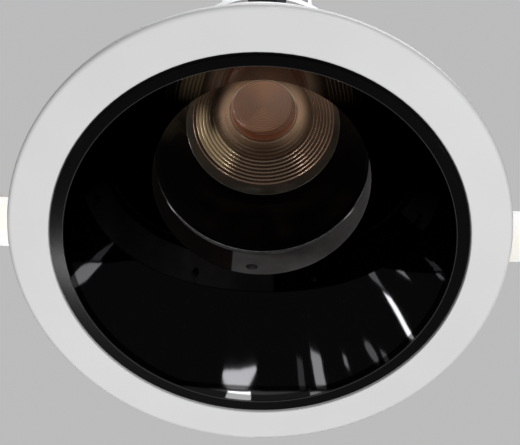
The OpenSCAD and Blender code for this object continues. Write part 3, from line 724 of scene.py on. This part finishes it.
class Finishes:
    """All the finishes of the light, by the record's material slots."""

    def __init__(self, optic: BronzeOptic) -> None:
        """Builds every material once.

        Args:
            optic: The optic's finish, which follows the optic's sizes.
        """
        finishes: list[Finish] = [
            PowderCoat("trim_white", (0.58, 0.58, 0.58), 0.45),
            MirrorCone("mirror_black", lip_r=48.9 * MM, edge_r=52.1 * MM, roll_z=-0.2 * MM),
            GlossBlack(
                "gloss_black", (0.0035, 0.0035, 0.0038), 0.13, mirror=0.5, wave=0.006 * MM
            ),
            optic,
            PowderCoat(
                "cast_black", (0.028, 0.028, 0.030), 0.48,
                grain=0.25 * MM, height=0.02 * MM, cloud=0.2,
            ),
            CastMetal("cast_aluminium", (0.50, 0.51, 0.52), 0.42),
            BareMetal("sink_aluminium", (0.40, 0.41, 0.43), 0.38, Axis.Z, mark=0.35 * MM),
            BareMetal(
                "zinc_steel", (0.50, 0.51, 0.53), 0.40, Axis.X,
                mark=0.2 * MM, tint=(0.48, 0.46, 0.42),
            ),
            BareMetal("spring_steel", (0.46, 0.45, 0.43), 0.26, Axis.Y, mark=0.12 * MM),
            Moulded("glide_plastic", (0.78, 0.76, 0.68), 0.42),
            Moulded("dark_plastic", (0.022, 0.022, 0.024), 0.45),
            Moulded("holder_plastic", (0.76, 0.76, 0.73), 0.5),
            Moulded(
                "board_ceramic", (0.80, 0.80, 0.79), 0.35, grain=0.15 * MM, height=0.002 * MM
            ),
            Moulded(
                "phosphor", (0.82, 0.58, 0.06), 0.55,
                grain=0.12 * MM, height=0.006 * MM, speck=(0.9, 0.72, 0.18),
            ),
            Moulded(
                "heat_pad", (0.25, 0.30, 0.36), 0.7,
                grain=0.2 * MM, height=0.01 * MM, speck=(0.4, 0.44, 0.48),
            ),
            Moulded(
                "soft_rubber", (0.030, 0.030, 0.031), 0.62, grain=0.2 * MM, height=0.015 * MM
            ),
        ]
        self.by_slot = {finish.name: finish.make() for finish in finishes}

    def dress_nodes(self, frame: dict[str, Any]) -> None:
        """Gives every CAD node the finish of its slot, and two of them a closer one.
        """
        closer = {
            "front_cup": RimmedCup("cup_black", rim_z=50.62 * MM, line_r=32.7 * MM),
            "neck_sleeve": SatinSleeve("sleeve_black", reflection_edge_x=-8.5 * MM, skirt_z=47.4 * MM),
        }
        for part in frame["record"]["subparts"]:
            self.dress(frame["nodes"][part["node"]], part["material_slot"])
            LOG.info("node %s is %s", part["node"], part["material_slot"])
        for node, finish in closer.items():
            frame["nodes"][node].data.materials[0] = finish.make()

    def dress(self, piece: bpy.types.Object, slot: str) -> None:
        """Gives one object a finish.

        Args:
            piece: Mesh object.
            slot: The finish's slot.
        """
        piece.data.materials.clear()
        piece.data.materials.append(self.by_slot[slot])


# Modelling helpers


def clear_selection() -> None:
    """Leaves nothing selected, in object mode."""
    active = bpy.context.view_layer.objects.active
    if active is not None and active.mode != "OBJECT":
        bpy.ops.object.mode_set(mode="OBJECT")
    bpy.ops.object.select_all(action="DESELECT")


def settle(name: str) -> bpy.types.Object:
    """Names the active object and puts its place into its mesh.

    Args:
        name: The piece's name.

    Returns:
        The object, at the origin, unturned and unscaled.
    """
    piece = bpy.context.view_layer.objects.active
    bpy.ops.object.transform_apply(location=True, rotation=True, scale=True)
    piece.name = piece.data.name = name
    return piece


def pick(test: Callable[[Vector], bool]) -> None:
    """Selects the active mesh's points that pass a test, in edit mode.

    Args:
        test: Function of a point's place that says whether it is picked.
    """
    mesh = bpy.context.view_layer.objects.active.data
    bpy.ops.mesh.select_mode(type="VERT")
    bpy.ops.mesh.select_all(action="DESELECT")
    bpy.ops.object.mode_set(mode="OBJECT")
    for point in mesh.vertices:
        point.select = test(point.co)
    bpy.ops.object.mode_set(mode="EDIT")


def turn(name: str, outline: list[Point2], steps: int) -> bpy.types.Object:
    """Turns a closed outline round the Z axis, as on a lathe.

    Args:
        name: The piece's name.
        outline: Radius and height of each corner, in metres, in order.
        steps: Segments of the full turn.

    Returns:
        The turned solid, left in edit mode with its shape closed.
    """
    ends = [Vector((r, 0, z)) for r, z in (outline[0], outline[-1])]

    def at_an_end(co: Vector) -> bool:
        """Tells whether a point is the outline's first or last corner."""
        return min((co - end).length for end in ends) < TOUCH

    # A small circle merged into one point starts the outline
    clear_selection()
    bpy.ops.mesh.primitive_circle_add(vertices=3, radius=0.1 * MM, location=(0, 0, 0))
    piece = bpy.context.view_layer.objects.active
    piece.name = piece.data.name = name
    bpy.ops.object.mode_set(mode="EDIT")
    bpy.ops.mesh.merge(type="CENTER")
    bpy.ops.transform.translate(value=ends[0])
    for (r, z), (next_r, next_z) in zip(outline, outline[1:]):
        reach = (next_r - r, 0, next_z - z)
        bpy.ops.mesh.extrude_vertices_move(TRANSFORM_OT_translate={"value": reach})
    pick(at_an_end)
    bpy.ops.mesh.edge_face_add()
    bpy.ops.mesh.select_all(action="SELECT")
    bpy.ops.mesh.spin(steps=steps, angle=TAU, center=(0, 0, 0), axis=(0, 0, 1))
    close_mesh()
    return piece


def close_mesh() -> None:
    """Merges the active mesh's doubled points and turns its faces outwards, in edit mode."""
    bpy.ops.mesh.select_all(action="SELECT")
    bpy.ops.mesh.remove_doubles(threshold=WELD)
    bpy.ops.mesh.normals_make_consistent(inside=False)


def finish_mesh() -> None:
    """Leaves edit mode and smooths the active piece."""
    bpy.ops.object.mode_set(mode="OBJECT")
    bpy.ops.object.shade_smooth_by_angle(angle=SMOOTH_ANGLE)


# Sub-assemblies


@dataclass
class RidgedOptic:
    """Bronze optic: plain rim, ridged funnel of small pillows, and the well with its disc."""

    flange_r: float = 26.3 * MM
    front_z: float = 74.7 * MM
    flange_t: float = 1.8 * MM
    band_r: float = 24.8 * MM
    band_round: float = 0.15 * MM
    funnel_r: float = 23.4 * MM
    funnel_z: float = 79.0 * MM
    well_r: float = 10.9 * MM
    well_z: float = 88.1 * MM
    floor_z: float = 92.9 * MM
    back_r: float = 13.5 * MM
    back_z: float = 95.0 * MM
    clamp_r: float = 24.5 * MM
    clamp_z: float = 80.0 * MM
    clamp_gap: float = 0.2 * MM
    coarse: int = 7
    coarse_pitch: float = 1.04 * MM
    coarse_bulge: float = 0.13
    fine: int = 3
    fine_pitch: float = 1.04 * MM
    fine_bulge: float = 0.045
    ridge_stops: tuple[float, ...] = (0.0, 0.12, 0.3, 0.5, 0.7, 0.88)
    bead_r: float = 11.7 * MM
    bead_h: float = 0.06 * MM
    bead_steps: int = 6
    smooth_steps: int = 3
    disc_rings: int = 12
    disc_bulge: float = 0.03 * MM
    disc_gap: float = 0.1 * MM
    disc_stops: tuple[float, ...] = (0.0, 0.3, 0.55, 0.8)
    back_stops: tuple[float, ...] = (0.25, 0.5, 0.75, 1.0)
    facets: int = 112
    dip: float = 0.02 * MM

    @property
    def fine_r(self) -> float:
        """Radius where the fine ridges start."""
        return self.funnel_r - self.coarse * self.coarse_pitch

    @property
    def smooth_r(self) -> float:
        """Radius where the smooth part starts."""
        return self.fine_r - self.fine * self.fine_pitch

    @property
    def steps(self) -> int:
        """Segments of the full turn: a crest and a valley for each pillow."""
        return 2 * self.facets

    def finish(self) -> BronzeOptic:
        """The optic's finish, at its own radii."""
        return BronzeOptic(
            "bronze_optic",
            funnel_r=self.funnel_r,
            fine_r=self.fine_r,
            smooth_r=self.smooth_r,
            well_r=self.well_r,
            well_z=self.well_z,
            ring=self.well_r / self.disc_rings,
            pitch=self.coarse_pitch,
        )

    def _on_funnel(self, r: float, proud: float = 0.0) -> Point2:
        """Point of the funnel at a radius, raised from its slope towards the axis."""
        run, drop = self.funnel_r - self.well_r, self.well_z - self.funnel_z
        length = math.hypot(run, drop)
        z = self.funnel_z + drop * (self.funnel_r - r) / run
        return r - proud * drop / length, z - proud * run / length

    def _ridges(self) -> list[Point2]:
        """Corners over the coarse ridges and then the fine ones, going inwards."""
        points = []
        for count, pitch, start, bulge in (
            (self.coarse, self.coarse_pitch, self.funnel_r, self.coarse_bulge),
            (self.fine, self.fine_pitch, self.fine_r, self.fine_bulge),
        ):
            for i in range(count):
                for t in self.ridge_stops:
                    proud = bulge * pitch * math.sin(math.pi * t) ** 0.8
                    points.append(self._on_funnel(start - (i + t) * pitch, proud))
        return points

    def _smooth_part(self) -> list[Point2]:
        """Corners over the smooth part and the bead round the well."""
        step = (self.smooth_r - self.bead_r) / self.smooth_steps
        points = [self._on_funnel(self.smooth_r - i * step) for i in range(self.smooth_steps)]
        step = (self.bead_r - self.well_r) / self.bead_steps
        for i in range(self.bead_steps):
            proud = self.bead_h * math.sin(math.pi * i / self.bead_steps)
            points.append(self._on_funnel(self.bead_r - i * step, proud))
        return points

    def _disc(self) -> list[Point2]:
        """Corners over the disc's rings, going inwards."""
        rim_r = self.well_r - self.disc_gap
        pitch = rim_r / self.disc_rings
        points = []
        for i in range(self.disc_rings):
            for t in self.disc_stops:
                arch = math.sin(math.pi * t) * self.disc_bulge
                points.append((rim_r - (i + t) * pitch, self.floor_z - arch))
        return points

    def _rear(self) -> list[Point2]:
        """Corners of the rear, from the axis out to the flange."""
        foot_r, foot_z = self.clamp_r - self.clamp_gap, self.front_z + self.flange_t
        points = [(0.0, self.back_z), (self.back_r, self.back_z)]
        for t in self.back_stops:
            r = self.back_r + (foot_r - self.back_r) * math.sqrt(t)
            points.append((r, self.back_z + (self.clamp_z - self.back_z) * t))
        return points + [(foot_r, foot_z), (self.flange_r, foot_z)]

    def outline(self) -> list[Point2]:
        """Corners of the half section, from the flange's edge inwards and back along the rear."""
        band = [
            (self.flange_r, self.front_z),
            (self.band_r + self.band_round, self.front_z),
            (self.band_r, self.front_z + self.band_round),
            (self.funnel_r + 0.08 * MM, self.funnel_z - 0.1 * MM),
        ]
        well = [(self.well_r, self.well_z), (self.well_r - 0.03 * MM, self.floor_z - 0.03 * MM)]
        front = band + self._ridges() + self._smooth_part() + well + self._disc()
        return front + [(0.0, self.floor_z)] + self._rear()

    def in_valley(self, co: Vector) -> bool:
        """Tells whether a point lies on the coarse ridges, between two pillows."""
        r = math.hypot(co.x, co.y)
        if not self.fine_r + 0.1 * MM < r < self.funnel_r - 0.05 * MM:
            return False
        step = round(math.atan2(co.y, co.x) / (TAU / self.steps))
        return abs(co.z - self._on_funnel(r)[1]) < 0.4 * MM and step % 2 == 1

    def build(self, finishes: Finishes) -> bpy.types.Object:
        """Models the optic and lets it stand for the CAD node.

        Args:
            finishes: The light's finishes.

        Returns:
            The finished piece.
        """
        piece = turn("ridged_optic", self.outline(), self.steps)
        pick(self.in_valley)
        bpy.ops.transform.translate(value=(0, 0, self.dip))
        finish_mesh()
        finishes.dress(piece, "bronze_optic")
        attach(piece, "head")
        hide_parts("lens")
        LOG.info("ridged_optic: %d faces", len(piece.data.polygons))
        return piece


@dataclass
class ClipSpring:
    """Torsion spring of one spring clip, wound from round wire with a leg at each end."""

    side: Side
    pin_x: float = 51.5 * MM
    pin_z: float = 14.0 * MM
    wire_r: float = 0.5 * MM
    coil_r: float = 2.55 * MM
    pitch: float = 1.6 * MM
    turns: float = 5.25
    per_turn: int = 28
    sides: int = 14
    leg_up: float = 7.7 * MM
    leg_out: float = 22.0 * MM
    tip_round: float = 0.15 * MM

    @property
    def length(self) -> float:
        """Length of the wound coil along the pin."""
        return self.pitch * self.turns

    @property
    def end_y(self) -> float:
        """How far from the coil's middle the round faces at the wire's ends begin."""
        return self.length / 2 - self.wire_r * 1.01

    def at_start(self, co: Vector) -> bool:
        """Tells whether a point lies in the face at the wire's start."""
        return co.y < -self.end_y and abs(co.z) < TOUCH and co.x * self.side.value < 0

    def at_end(self, co: Vector) -> bool:
        """Tells whether a point lies in the face at the wire's end."""
        return co.y > self.end_y and abs(co.x) < TOUCH and co.z < 0

    def build(self, finishes: Finishes) -> bpy.types.Object:
        """Models the spring and lets it stand for the CAD node.

        Args:
            finishes: The light's finishes.

        Returns:
            The finished piece.
        """
        word, hand = self.side.word, self.side.value
        length, centre_x = self.length, hand * self.pin_x
        clear_selection()
        bpy.ops.mesh.primitive_circle_add(
            vertices=self.sides,
            radius=self.wire_r,
            location=(-hand * self.coil_r, -length / 2, 0),
        )
        bpy.ops.object.transform_apply(location=True, rotation=True, scale=True)
        bpy.ops.object.modifier_add(type="SCREW")
        piece = bpy.context.view_layer.objects.active
        screw = piece.modifiers[-1]
        screw.axis = "Y"
        screw.angle = -hand * TAU * self.turns
        screw.screw_offset = length
        screw.steps = screw.render_steps = round(self.per_turn * self.turns)
        bpy.ops.object.modifier_apply(modifier=screw.name)
        bpy.ops.object.mode_set(mode="EDIT")
        up, out = (0, 0, self.leg_up), (hand * self.leg_out, 0, 0)
        for test, reach in ((self.at_start, up), (self.at_end, out)):
            pick(test)
            bpy.ops.mesh.extrude_region_move(TRANSFORM_OT_translate={"value": reach})
            bpy.ops.mesh.edge_face_add()
            bpy.ops.mesh.bevel(offset=self.tip_round, segments=2, affect="EDGES")
        bpy.ops.mesh.select_all(action="SELECT")
        bpy.ops.transform.translate(value=(centre_x, 0, self.pin_z))
        close_mesh()
        finish_mesh()
        piece = settle(f"wound_spring_{word}")
        finishes.dress(piece, "spring_steel")
        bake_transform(piece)
        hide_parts(f"clip_spring_{word}")
        LOG.info("%s: %d faces", piece.name, len(piece.data.polygons))
        return piece


# Studio


class PanelShape(Enum):
    """Outline of a lamp panel, with the share of its box that it fills."""

    RECTANGLE = 1.0
    ELLIPSE = math.pi / 4


@dataclass(frozen=True)
class Softbox:
    """Lamp panel seen from the light's mouth in one direction, with angles in degrees."""

    name: str
    azimuth: float
    elevation: float
    level: float
    width: float
    height: float
    distance: float = 0.85
    outline: PanelShape = PanelShape.RECTANGLE

    def place(self) -> bpy.types.Object:
        """Adds the panel, facing the downlight.

        Returns:
            The lamp.
        """
        a, e = math.radians(self.azimuth), math.radians(self.elevation)
        way = Vector((math.cos(e) * math.cos(a), math.cos(e) * math.sin(a), math.sin(e)))
        clear_selection()
        bpy.ops.object.light_add(type="AREA", location=way * self.distance)
        lamp = bpy.context.view_layer.objects.active
        lamp.name = self.name
        lamp.rotation_euler = way.to_track_quat("Z", "Y").to_euler()
        lamp.data.shape = self.outline.name
        lamp.data.size, lamp.data.size_y = self.width, self.height
        lamp.data.energy = self.level * math.pi * self.width * self.height * self.outline.value
        lamp.visible_camera = False
        return lamp


def seen_rays(tree: Any) -> Any:
    """Adds the nodes that tell a ray that sees a surface from one that lights by it.

    Args:
        tree: Node tree of a material or the world.

    Returns:
        Socket that is 1 for camera, glossy and transmission rays.
    """
    path = tree.nodes.new("ShaderNodeLightPath")
    total = path.outputs["Is Camera Ray"]
    for name in ("Is Glossy Ray", "Is Transmission Ray"):
        add = tree.nodes.new("ShaderNodeMath")
        add.use_clamp = True
        tree.links.new(total, add.inputs[0])
        tree.links.new(path.outputs[name], add.inputs[1])
        total = add.outputs[0]
    return total


@dataclass
class Studio:
    """Pale room with a floor, soft panels and the camera.

    The camera's numbers were fitted to the ring: centre is the middle of the ring's face as the
    camera sees it, in ring radii to the right, down and ahead. Angles are in degrees.
    """

    sky: float = 0.5
    sky_light: float = 0.045
    floor_z: float = -1.0
    floor_size: float = 12.0
    floor_glow: float = 0.85
    floor_dark: Colour = (0.78, 0.78, 0.78)
    floor_pale: Colour = (0.84, 0.84, 0.84)
    photo_px: int = 520
    focal_px: float = 857.5
    sensor_mm: float = 36.0
    near_clip: float = 5 * MM
    tilt: float = 30.4
    lean: float = 1.8
    centre: Point3 = (-0.00342, 0.12843, 3.41133)
    ring_r: float = 62.5 * MM
    ring_z: float = -2.5 * MM
    panels: list[Softbox] = field(default_factory=list)

    def world(self) -> None:
        """Makes the plain pale surroundings."""
        world = bpy.data.worlds.new("pale_room")
        world.use_nodes = True
        tree = world.node_tree
        seen = tree.nodes["Background"]
        lit = tree.nodes.new("ShaderNodeBackground")
        for back, level in ((seen, self.sky), (lit, self.sky_light)):
            back.inputs["Color"].default_value = (level, level, level, 1)
        mix = tree.nodes.new("ShaderNodeMixShader")
        tree.links.new(seen_rays(tree), mix.inputs["Fac"])
        tree.links.new(lit.outputs[0], mix.inputs[1])
        tree.links.new(seen.outputs[0], mix.inputs[2])
        tree.links.new(mix.outputs[0], tree.nodes["World Output"].inputs["Surface"])
        bpy.context.scene.world = world

    def floor_paint(self) -> bpy.types.Material:
        """Makes the floor's matt paint, which shows as pale as the sky and keeps some shadow.

        Returns:
            The finished material.
        """
        s = Shader("floor_paint")
        s.dress(
            Base_Color=s.mix(s.noise(40 * MM), self.floor_dark, self.floor_pale), Roughness=0.8
        )
        white = {"Color": (1.0, 1.0, 1.0), "Strength": self.sky}
        glow = s.node("ShaderNodeEmission", inputs=white)
        share = Socket(s, seen_rays(s.tree)) * self.floor_glow
        paint = Socket(s, s.surface.outputs[0])
        mixed = s.node("ShaderNodeMixShader", inputs={0: share, 1: paint, 2: glow})
        s.feed(s.output.inputs["Surface"], mixed)
        return s.material

    def floor(self) -> bpy.types.Object:
        """Adds the pale floor.

        Returns:
            The floor, which isn't part of the light.
        """
        clear_selection()
        bpy.ops.mesh.primitive_plane_add(size=self.floor_size, location=(0, 0, self.floor_z))
        floor = settle("studio_floor")
        floor.data.materials.append(self.floor_paint())
        return floor

    def camera(self) -> bpy.types.Object:
        """Sets the camera at the photograph's place.

        Returns:
            The camera.
        """
        tilt, lean = math.radians(self.tilt), math.radians(self.lean)
        side = Vector((math.cos(lean), math.sin(lean), 0))
        flat = Vector((math.sin(lean), -math.cos(lean), 0))
        up = flat * math.sin(tilt) + Vector((0, 0, math.cos(tilt)))
        away = up.cross(side)
        turned = Matrix((side, away, up))
        ring_face = Vector((0, 0, self.ring_z))
        place = ring_face - (turned @ Vector(self.centre)) * self.ring_r
        right, down, ahead = (turned.col[i] for i in range(3))
        facing = Matrix((right, -down, -ahead)).transposed().to_4x4()
        clear_selection()
        bpy.ops.object.camera_add()
        camera = bpy.context.view_layer.objects.active
        camera.name = "photo_camera"
        camera.data.sensor_width = self.sensor_mm
        camera.data.lens = self.sensor_mm * self.focal_px / self.photo_px
        camera.data.clip_start = self.near_clip
        camera.matrix_world = Matrix.Translation(place) @ facing
        bpy.context.scene.camera = camera
        return camera

    def build(self) -> None:
        """Sets up the whole studio."""
        self.world()
        self.floor()
        for panel in self.panels:
            panel.place()
            LOG.info("lamp %s", panel.name)
        self.camera()
        bpy.context.scene.view_settings.view_transform = "Standard"


PANELS = [
    Softbox("far_strip", 105.5, -53.7, 85, 0.29, 0.03, outline=PanelShape.ELLIPSE),
    Softbox("near_strip", -81.9, -2.4, 22, 0.19, 0.035, outline=PanelShape.ELLIPSE),
    Softbox("far_right_bar", 29.4, -50.5, 39, 0.084, 0.056),
    Softbox("near_right_bar", -122.3, -1.6, 8, 0.14, 0.02),
    Softbox("far_right_slit", 46, -51.8, 5, 0.05, 0.045),
    Softbox("right_slit", 2.6, -47.2, 24, 0.03, 0.018),
    Softbox("right_box", -22, -43.3, 13, 0.075, 0.03, outline=PanelShape.ELLIPSE),
    Softbox("right_box_end", -32, -42.6, 12, 0.04, 0.02),
    Softbox("side_strip_low", -58.8, -34.0, 190, 0.046, 0.072),
    Softbox("side_strip_high", -55.5, -27.5, 13, 0.09, 0.10),
    Softbox("near_left_box", -80.1, -22.9, 26, 0.16, 0.06),
    Softbox("near_right_glint", -109.2, -19.9, 14, 0.03, 0.015),
    Softbox("left_box", -163.5, -60.2, 60, 0.055, 0.045),
    Softbox("right_faint", -29, -57.2, 60, 0.04, 0.03),
    Softbox("lens_key", 38, -65, 46, 0.046, 0.26),
    Softbox("lens_fill", 140, -60, 45, 0.07, 0.07, outline=PanelShape.ELLIPSE),
    Softbox("top_soft", -60, 72, 2.6, 1.6, 1.6, distance=1.7),
]


def main() -> None:
    """Builds the dressed downlight and its studio."""
    logging.basicConfig(level=logging.INFO, format="%(name)s: %(message)s")
    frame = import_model()
    optic = RidgedOptic()
    finishes = Finishes(optic.finish())
    finishes.dress_nodes(frame)
    optic.build(finishes)
    for side in Side:
        ClipSpring(side).build(finishes)
    Studio(panels=PANELS).build()


if __name__ == "__main__":
    main()
